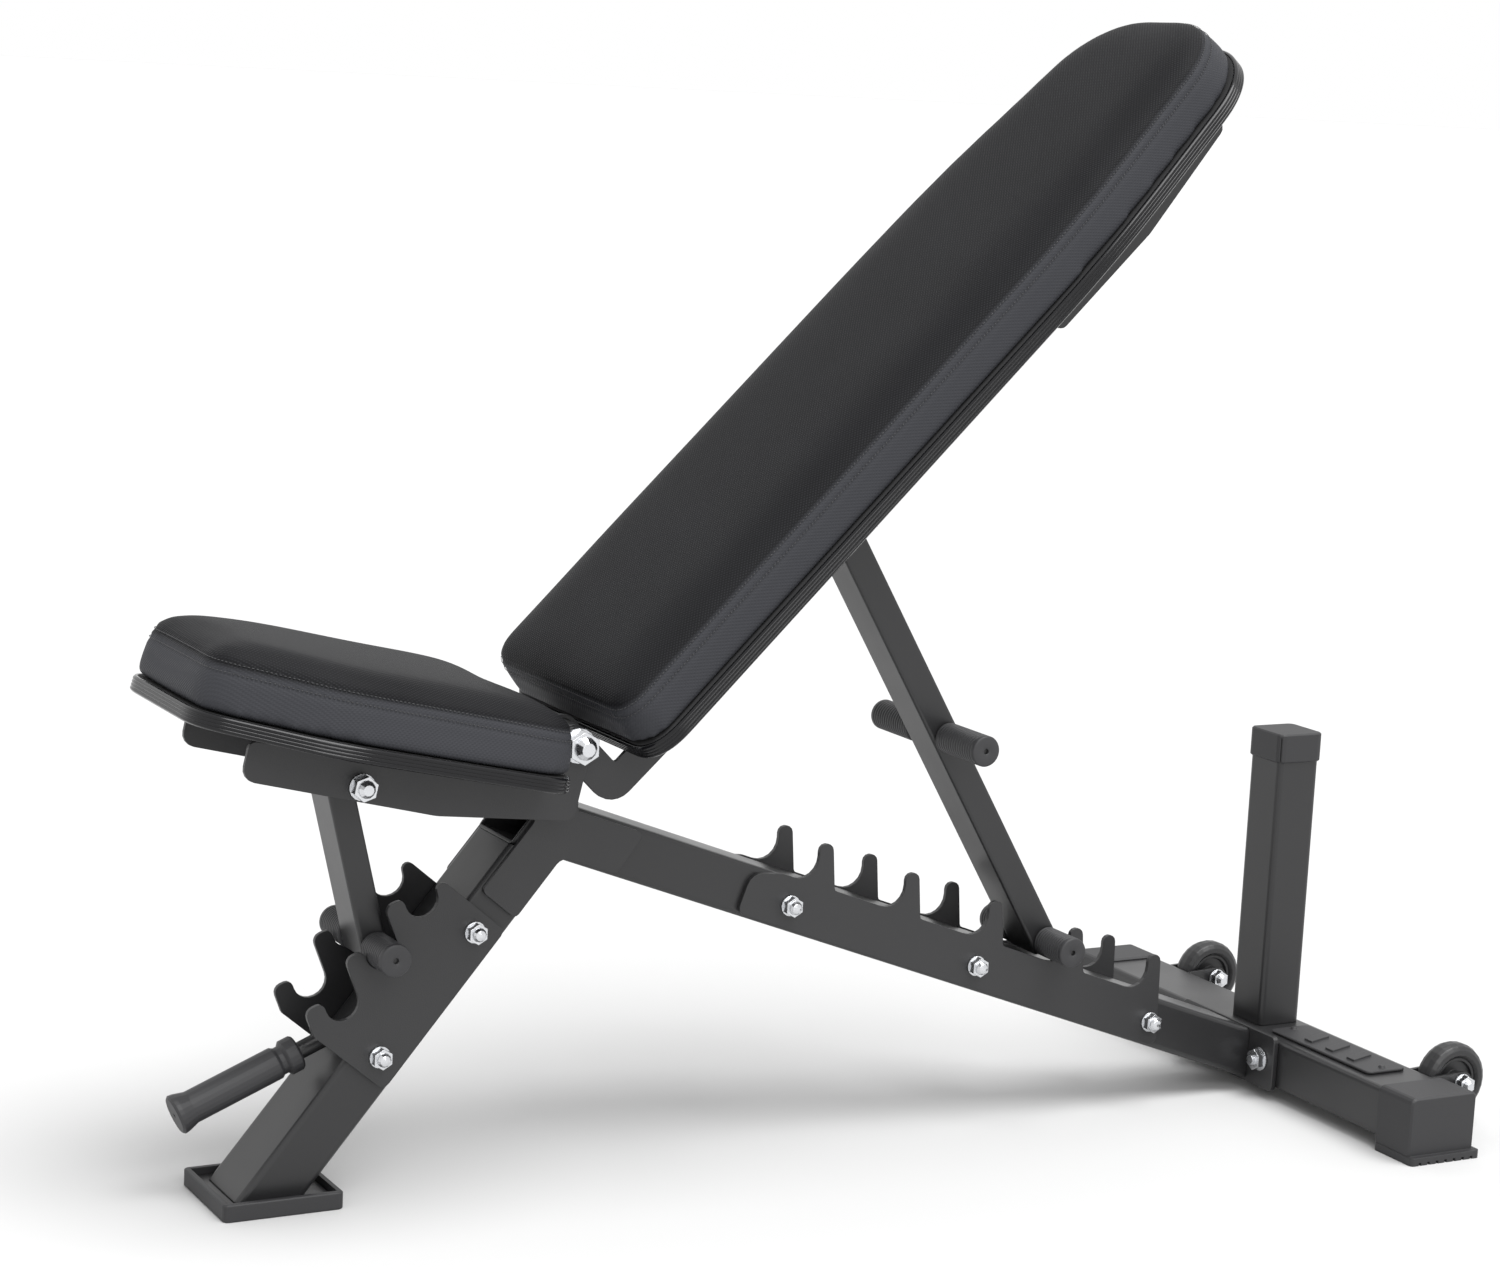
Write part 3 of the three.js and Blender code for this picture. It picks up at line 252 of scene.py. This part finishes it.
def weld_metal():
    weld = Material("coated_weld", (0.022, 0.022, 0.023), 0.28)
    weld.bump(weld.noise(420, detail=2), 0.3, 0.4 * MM)
    return weld.material


COAT = powder_coat("powder_coat")
PLATE_COAT = powder_coat("powder_coat_plates", tone=0.021, roughness=0.4, texture=0.3, edge=0.9 * MM)
ZINC = zinc_plate()
RUBBER = moulded_rubber("moulded_rubber")
GRIP_RUBBER = moulded_rubber("grip_rubber", tone=0.026, roughness=0.5)
TRIM = gloss_trim()
VINYL = twill_vinyl()
CLOTH = dust_cloth()
TYRE = tyre_plastic()
THREAD = thread()
WELD = weld_metal()

SLOT_MATERIALS = {
    "frame_steel": COAT,
    "zinc": ZINC,
    "rubber": RUBBER,
    "grip": GRIP_RUBBER,
    "vinyl": VINYL,
    "trim": TRIM,
    "board": CLOTH,
    "tyre": TYRE,
}


def finish_cad_nodes():
    for part in RECORD["subparts"]:
        node = NODES[part["node"]]
        material = SLOT_MATERIALS[part["material_slot"]]
        if "plate" in part["node"] or "ladder" in part["node"] or "gusset" in part["node"]:
            material = PLATE_COAT if part["material_slot"] == "frame_steel" else material
        for slot in node.material_slots:
            slot.material = material


# ---- mesh helpers ----
def body_of(node):
    return next(body for body, members in BODIES.items() if node in members)


def new_object(name, vertices, faces, material, smooth=True, matrix=None):
    mesh = bpy.data.meshes.new(name)
    mesh.from_pydata([tuple(v) for v in vertices], [], faces)
    mesh.validate()
    made = bpy.data.objects.new(name, mesh)
    bpy.context.scene.collection.objects.link(made)
    mesh.materials.append(material)
    if smooth:
        mesh.polygons.foreach_set("use_smooth", [True] * len(mesh.polygons))
    if matrix is not None:
        made.matrix_world = matrix
    bpy.context.view_layer.update()
    return made


def attach(piece, body):
    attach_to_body(piece, body)
    return piece


def grid_faces(rows, columns, close_rows=False, close_columns=True):
    """Quads between the rows of a grid of points, row by row."""
    faces = []
    for i in range(rows if close_rows else rows - 1):
        for j in range(columns if close_columns else columns - 1):
            k = (j + 1) % columns
            n = (i + 1) % rows
            faces.append((i * columns + j, i * columns + k, n * columns + k, n * columns + j))
    return faces


def local_points(node, matrix):
    inverse = matrix.inverted()
    return np.array([inverse @ v.co for v in NODES[node].data.vertices])


def pad_frame(angle):
    """Local X runs along the pad away from the hinge, Z is square to it."""
    return Matrix.Translation(HINGE) @ Matrix.Rotation(-angle, 4, "Y")


PADS = {
    "back": {"body": "back_rest", "matrix": pad_frame(BACK_ANGLE), "fill": 0.85, "rise": 0.0},
    "seat": {"body": "seat", "matrix": pad_frame(-SEAT_ANGLE), "fill": 0.85, "rise": 5.0 * MM},
}


# ---- pad outlines ----
def plan_outline(points, spacing):
    """The convex plan of a pad, walked anticlockwise at an even spacing with its corners eased."""
    flat = [Vector((p[0], p[1])) for p in points]
    ring = np.array([flat[i] for i in convex_hull_2d(flat)])
    area = np.sum(ring[:, 0] * np.roll(ring[:, 1], -1) - np.roll(ring[:, 0], -1) * ring[:, 1])
    if area < 0:
        ring = ring[::-1]
    closed = np.vstack([ring, ring[:1]])
    steps = np.hypot(*np.diff(closed, axis=0).T)
    travelled = np.concatenate([[0], np.cumsum(steps)])
    count = int(travelled[-1] / spacing)
    at = np.linspace(0, travelled[-1], count, endpoint=False)
    even = np.column_stack([np.interp(at, travelled, closed[:, axis]) for axis in (0, 1)])
    for _ in range(6):
        even = 0.5 * even + 0.25 * (np.roll(even, 1, axis=0) + np.roll(even, -1, axis=0))
    return even


def outline_normals(ring):
    along = np.roll(ring, -1, axis=0) - np.roll(ring, 1, axis=0)
    normals = np.column_stack([along[:, 1], -along[:, 0]])
    return normals / np.linalg.norm(normals, axis=1)[:, None]


# ---- trims ----
def make_trim(name, pad):
    """A gloss moulding round the board, its outer face ridged along its length."""
    points = local_points(f"{name}_trim", pad["matrix"])
    ring = plan_outline(points, 4.0 * MM)
    normals = outline_normals(ring)
    low, high = points[:, 2].min(), points[:, 2].max()
    profile = [(TRIM_INNER, low + 0.6 * MM), (-2.6 * MM, low), (-1.0 * MM, low)]
    steps = TRIM_RIDGES * 8
    span = high - low - 1.6 * MM
    for i in range(steps + 1):
        share = i / steps
        ridge = abs(math.sin(math.pi * TRIM_RIDGES * share)) ** 0.7
        lean = 0.8 * MM * (1 - share)
        profile.append((lean - TRIM_RIDGE_DEPTH * (1 - ridge), low + 0.8 * MM + span * share))
    profile += [(-1.4 * MM, high), (TRIM_INNER, high)]
    vertices = []
    for offset, height in profile:
        moved = ring + normals * offset
        vertices += [(x, y, height) for x, y in moved]
    faces = grid_faces(len(profile), len(ring), close_rows=True)
    trim = new_object(f"{name}_trim_ridged", vertices, faces, TRIM, matrix=pad["matrix"])
    attach(trim, pad["body"])
    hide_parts(f"{name}_trim")
    return ring, normals


# ---- cushions ----
CUSHION_VOXEL = 6.0 * MM
CUSHION_SHRINK = 3.0 * MM
SIDE_SHRINK = 1.0 * MM
END_GROWTH = 1.5 * MM
CUSHION_CAP = 4.0 * MM
CUSHION_PRESSURE = 4.0
CUSHION_FRAMES = 20


def run_cloth(cushion, pinned):
    """Inflates the closed mesh a little, its base held, and keeps the result."""
    group = cushion.vertex_groups.new(name="held")
    group.add([int(i) for i in pinned], 1.0, "REPLACE")
    modifier = cushion.modifiers.new("inflate", "CLOTH")
    settings = modifier.settings
    settings.quality = 6
    settings.mass = 0.3
    settings.tension_stiffness = 22
    settings.compression_stiffness = 22
    settings.shear_stiffness = 10
    settings.bending_stiffness = 2.5
    settings.use_pressure = True
    settings.uniform_pressure_force = CUSHION_PRESSURE
    settings.effector_weights.gravity = 0
    settings.vertex_group_mass = "held"
    modifier.collision_settings.use_collision = False
    modifier.point_cache.frame_start = 1
    modifier.point_cache.frame_end = CUSHION_FRAMES
    for step in range(1, CUSHION_FRAMES + 1):
        bpy.context.scene.frame_set(step)
    graph = bpy.context.evaluated_depsgraph_get()
    evaluated = cushion.evaluated_get(graph)
    shaped = np.array([v.co for v in evaluated.data.vertices])
    cushion.modifiers.remove(modifier)
    cushion.vertex_groups.remove(group)
    bpy.context.scene.frame_set(1)
    return shaped


def spread_evenly(cushion, field, rounds):
    """Averages a per-vertex field with its neighbours, so that only its broad form stays."""
    edges = np.empty(len(cushion.data.edges) * 2, dtype=np.int64)
    cushion.data.edges.foreach_get("vertices", edges)
    edges = edges.reshape(-1, 2)
    both = np.vstack([edges, edges[:, ::-1]])
    count = np.bincount(both[:, 0], minlength=len(field))[:, None]
    for _ in range(rounds):
        total = np.zeros_like(field)
        for axis in range(3):
            total[:, axis] = np.bincount(both[:, 0], weights=field[both[:, 1], axis], minlength=len(field))
        field = 0.5 * field + 0.5 * total / count
    return field


def make_cushion(name, pad):
    """The foam block under its cover: a rounded, crowned form with sides that lean in a little."""
    node = f"{name}_cushion"
    points = local_points(node, pad["matrix"])
    mesh = NODES[node].data.copy()
    mesh.transform(pad["matrix"].inverted())
    cushion = bpy.data.objects.new(f"{name}_cushion_cover", mesh)
    bpy.context.scene.collection.objects.link(cushion)
    cushion.matrix_world = pad["matrix"]
    remesh = cushion.modifiers.new("even", "REMESH")
    remesh.mode = "VOXEL"
    remesh.voxel_size = CUSHION_VOXEL
    bpy.context.view_layer.objects.active = cushion
    cushion.select_set(True)
    bpy.ops.object.modifier_apply(modifier=remesh.name)
    cushion.select_set(False)
    rest = np.array([v.co for v in cushion.data.vertices])
    low, high = points[:, 2].min(), points[:, 2].max()
    middle = 0.5 * (points.min(0) + points.max(0))
    half = 0.5 * (points.max(0) - points.min(0))
    height = np.clip((rest[:, 2] - low) / (high - low), 0, 1)
    above_base = np.minimum(1, height * 4)
    inset = rest.copy()
    inset[:, 0] = middle[0] + (rest[:, 0] - middle[0]) * (1 + END_GROWTH * above_base / half[0])
    inset[:, 1] = middle[1] + (rest[:, 1] - middle[1]) * (1 - SIDE_SHRINK * above_base / half[1])
    inset[:, 2] -= CUSHION_SHRINK * np.clip(height * 2 - 1, 0, 1)
    across = np.clip(1 - np.abs(rest[:, 1] / half[1]) ** 3, 0, 1)
    along = np.clip(1 - np.abs((rest[:, 0] - middle[0]) / half[0]) ** 6, 0, 1)
    inset[:, 2] += CROWN_RISE * across * along * np.clip(height * 3 - 2, 0, 1)
    forward = np.clip((np.abs(rest[:, 0]) - np.abs(rest[:, 0]).min()) / (2 * half[0]), 0, 1)
    inset[:, 2] += pad["rise"] * forward * np.clip(height * 2 - 0.6, 0, 1)
    cushion.data.vertices.foreach_set("co", inset.ravel())
    cushion.data.update()
    pinned = np.flatnonzero(rest[:, 2] < low + 5 * MM)
    shaped = run_cloth(cushion, pinned)
    move = spread_evenly(cushion, shaped - inset, 80)
    length = np.linalg.norm(move, axis=1)
    length[length < 1e-9] = 1e-9
    move *= np.minimum(1, CUSHION_CAP / length)[:, None]
    shaped = inset + move
    shaped[:, 2] = np.maximum(shaped[:, 2], low)
    cushion.data.vertices.foreach_set("co", shaped.ravel())
    cushion.data.update()
    smooth = cushion.modifiers.new("even_out", "SMOOTH")
    smooth.factor = 0.5
    smooth.iterations = 6
    detail = cushion.modifiers.new("detail", "SUBSURF")
    detail.levels = detail.render_levels = 1
    bpy.context.view_layer.objects.active = cushion
    cushion.select_set(True)
    bpy.ops.object.modifier_apply(modifier=smooth.name)
    bpy.ops.object.modifier_apply(modifier=detail.name)
    cushion.select_set(False)
    cushion.data.materials.clear()
    cushion.data.materials.append(VINYL)
    cushion.data.polygons.foreach_set("use_smooth", [True] * len(cushion.data.polygons))
    return cushion


def seam_height(pad, x, base, reach):
    return base + pad["rise"] * np.clip((np.abs(x) - 30 * MM) / reach, 0, 1)


def surface_ring(cushion, ring, normals, heights):
    """Where a level line round the pad meets the cushion's side, and the surface's normal there."""
    tree = BVHTree.FromPolygons(
        [v.co.copy() for v in cushion.data.vertices],
        [tuple(p.vertices) for p in cushion.data.polygons],
    )
    found = []
    for (x, y), (nx, ny), z in zip(ring, normals, heights):
        start = Vector((x + nx * 0.04, y + ny * 0.04, z))
        hit, normal, _, _ = tree.ray_cast(start, Vector((-nx, -ny, 0)), 0.12)
        if hit is None:
            continue
        found.append((hit, normal))
    return found


def press_seams(cushion, lines):
    """Draws the cover in along its seams, as a sewn cover is."""
    spots = [spot for line in lines for spot in line]
    tree = KDTree(len(spots))
    for i, (hit, _) in enumerate(spots):
        tree.insert(hit, i)
    tree.balance()
    for vertex in cushion.data.vertices:
        _, _, distance = tree.find(vertex.co)
        if distance < 3 * SEAM_WIDTH:
            vertex.co -= vertex.normal * SEAM_DEPTH * math.exp(-((distance / SEAM_WIDTH) ** 2))
    cushion.data.update()


def add_stitches(name, pad, line, label):
    """A row of short threads, each lying along the seam and half sunk into the cover."""
    vertices = []
    faces = []
    sides = 6
    hits = [hit for hit, _ in line]
    normals = [normal for _, normal in line]
    loop = hits + hits[:1]
    lengths = [0.0]
    for first, second in zip(loop, loop[1:]):
        lengths.append(lengths[-1] + (second - first).length)
    count = int(lengths[-1] / STITCH_PITCH)
    segment = 0
    for i in range(count):
        target = lengths[-1] * i / count
        while lengths[segment + 1] < target:
            segment += 1
        share = (target - lengths[segment]) / max(lengths[segment + 1] - lengths[segment], 1e-9)
        centre = loop[segment].lerp(loop[segment + 1], share)
        along = (loop[segment + 1] - loop[segment]).normalized()
        out = normals[segment]
        side = along.cross(out).normalized()
        first = len(vertices)
        stations = ((-0.5, 0.35, -0.5), (-0.3, 1.0, 0.3), (0.3, 1.0, 0.3), (0.5, 0.35, -0.5))
        for at, thick, lift in stations:
            middle = centre + along * at * STITCH_LENGTH + out * lift * STITCH_RADIUS
            for k in range(sides):
                a = 2 * math.pi * k / sides
                offset = side * math.cos(a) + out * math.sin(a)
                vertices.append(middle + offset * STITCH_RADIUS * thick)
        for j in range(len(stations) - 1):
            for k in range(sides):
                a = first + j * sides + k
                b = first + j * sides + (k + 1) % sides
                faces.append((a, b, b + sides, a + sides))
        faces.append(tuple(first + k for k in reversed(range(sides))))
        faces.append(tuple(first + (len(stations) - 1) * sides + k for k in range(sides)))
    piece = new_object(f"{name}_stitches_{label}", vertices, faces, THREAD, matrix=pad["matrix"])
    attach(piece, pad["body"])


def make_pad(name):
    pad = PADS[name]
    ring, normals = make_trim(name, pad)
    cushion = make_cushion(name, pad)
    reach = np.ptp(ring[:, 0])
    upper, lower = (
        surface_ring(cushion, ring, normals, seam_height(pad, ring[:, 0], base, reach))
        for base in (SEAM_HEIGHT, SEAM_HEIGHT - SEAM_SPACING)
    )
    press_seams(cushion, [upper, lower])
    attach(cushion, pad["body"])
    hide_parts(f"{name}_cushion")
    add_stitches(name, pad, upper, "upper")
    add_stitches(name, pad, lower, "lower")


# ---- sleeves ----
def lathe_y(name, profile, centre, material, sides=48):
    """A body of revolution about Y from (radius, y) points that start and end on the axis or close."""
    vertices = []
    for radius, y in profile:
        for k in range(sides):
            a = 2 * math.pi * k / sides
            vertices.append((centre[0] + radius * math.cos(a), y, centre[2] + radius * math.sin(a)))
    faces = grid_faces(len(profile), sides, close_rows=True)
    return new_object(name, vertices, [tuple(reversed(f)) for f in faces], material)


def ribbed_sleeve(node, ribs):
    low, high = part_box(node)
    centre = 0.5 * (low + high)
    radius = 0.5 * (high.x - low.x)
    outward = 1 if centre.y > 0 else -1
    inner = low.y if outward > 0 else high.y
    outer = high.y if outward > 0 else low.y
    length = abs(outer - inner)
    pitch = (length - 6 * MM) / ribs
    distances = [(PIN_RADIUS, 0.2 * MM), (radius - 1.2 * MM, 0.2 * MM), (radius, 1.2 * MM)]
    for i in range(ribs):
        start = 2 * MM + i * pitch
        distances += [
            (radius, start + 0.1 * pitch),
            (radius - GROOVE_DEPTH, start + 0.26 * pitch),
            (radius - GROOVE_DEPTH, start + 0.42 * pitch),
            (radius, start + 0.58 * pitch),
        ]
    end = length - 0.2 * MM
    distances += [
        (radius, end - 1.6 * MM),
        (radius - 0.5 * MM, end - 0.5 * MM),
        (radius - 1.6 * MM, end),
        (3.2 * MM, end),
        (2.6 * MM, end - 0.5 * MM),
        (2.6 * MM, end - 2.4 * MM),
        (PIN_RADIUS, end - 2.4 * MM),
    ]
    profile = [(r, inner + outward * d) for r, d in distances]
    if outward < 0:
        profile.reverse()
    sleeve = lathe_y(f"{node}_ribbed", profile, centre, GRIP_RUBBER)
    sleeve.data.set_sharp_from_angle(angle=math.radians(50))
    attach(sleeve, body_of(node))
    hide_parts(node)


SLEEVES = [
    (f"{kind}_{side}", ribs)
    for kind, ribs in (("back_roller", 11), ("seat_roller", 11), ("lifting_grip", 15))
    for side in ("left", "right")
]


# ---- welds ----
def weld_ring(name, centre, body):
    """A rippled bead round a pin where it leaves a tube."""
    turns, sides = 60, 8
    vertices = []
    for i in range(turns):
        a = 2 * math.pi * i / turns
        thick = WELD_BEAD * (1 + 0.16 * math.sin(a * 15))
        for k in range(sides):
            b = 2 * math.pi * k / sides
            r = WELD_RADIUS + thick * math.cos(b)
            y = centre.y + thick * math.sin(b)
            vertices.append((centre.x + r * math.cos(a), y, centre.z + r * math.sin(a)))
    piece = new_object(name, vertices, grid_faces(turns, sides, close_rows=True), WELD)
    attach(piece, body)


def pin_welds():
    for kind in ("back_roller", "seat_roller", "lifting_grip"):
        for side, sign in (("left", -1), ("right", 1)):
            node = f"{kind}_{side}"
            low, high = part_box(node)
            centre = 0.5 * (low + high)
            centre.y = sign * WELD_OUT
            weld_ring(f"{kind}_weld_{side}", centre, body_of(node))


# ---- stage, light, camera ----
def make_stage():
    floor = Material("pale_floor", (0.57, 0.57, 0.57), 0.7, Specular_IOR_Level=0.1)
    size = 900
    plane = new_object(
        "floor",
        [(-size, -size, 0), (size, -size, 0), (size, size, 0), (-size, size, 0)],
        [(0, 1, 2, 3)],
        floor.material,
        smooth=False,
    )
    world = bpy.data.worlds.new("studio")
    world.use_nodes = True
    world.node_tree.nodes["Background"].inputs["Color"].default_value = (1, 1, 1, 1)
    world.node_tree.nodes["Background"].inputs["Strength"].default_value = 1.0
    bpy.context.scene.world = world


def make_lights():
    sun = bpy.data.lights.new("overhead", "SUN")
    sun.energy = 2.9
    sun.angle = math.radians(42)
    lamp = bpy.data.objects.new("overhead", sun)
    bpy.context.scene.collection.objects.link(lamp)
    lamp.rotation_euler = Vector((0.15, -0.3, 0.93)).to_track_quat("Z", "Y").to_euler()
    panel = bpy.data.lights.new("panel", "AREA")
    panel.shape = "RECTANGLE"
    panel.size, panel.size_y = 1.6, 1.2
    panel.energy = 26
    lamp = bpy.data.objects.new("panel", panel)
    bpy.context.scene.collection.objects.link(lamp)
    lamp.location = (-0.6, -3.2, 2.2)
    lamp.rotation_euler = (Vector((0, 0, 0.5)) - lamp.location).to_track_quat("-Z", "Y").to_euler()


def make_camera():
    camera = bpy.data.objects.new("camera", bpy.data.cameras.new("camera"))
    bpy.context.scene.collection.objects.link(camera)
    camera.data.lens = CAMERA_LENS
    camera.data.sensor_width = 36
    camera.data.sensor_fit = "HORIZONTAL"
    camera.data.clip_end = 2000
    level = math.cos(CAMERA_PITCH)
    forward = Vector((
        math.sin(CAMERA_YAW) * level,
        math.cos(CAMERA_YAW) * level,
        math.sin(CAMERA_PITCH),
    ))
    right = Vector((math.cos(CAMERA_YAW), -math.sin(CAMERA_YAW), 0))
    up = right.cross(forward)
    turned_right = right * math.cos(CAMERA_ROLL) + up * math.sin(CAMERA_ROLL)
    turned_up = up * math.cos(CAMERA_ROLL) - right * math.sin(CAMERA_ROLL)
    rotation = Matrix((turned_right, turned_up, -forward)).transposed()
    camera.matrix_world = Matrix.Translation(HINGE + CAMERA_OFFSET) @ rotation.to_4x4()
    bpy.context.scene.camera = camera


finish_cad_nodes()
for pad_name in PADS:
    make_pad(pad_name)
for sleeve_node, rib_count in SLEEVES:
    ribbed_sleeve(sleeve_node, rib_count)
pin_welds()
make_stage()
make_lights()
make_camera()
bpy.context.scene.view_settings.view_transform = "Standard"
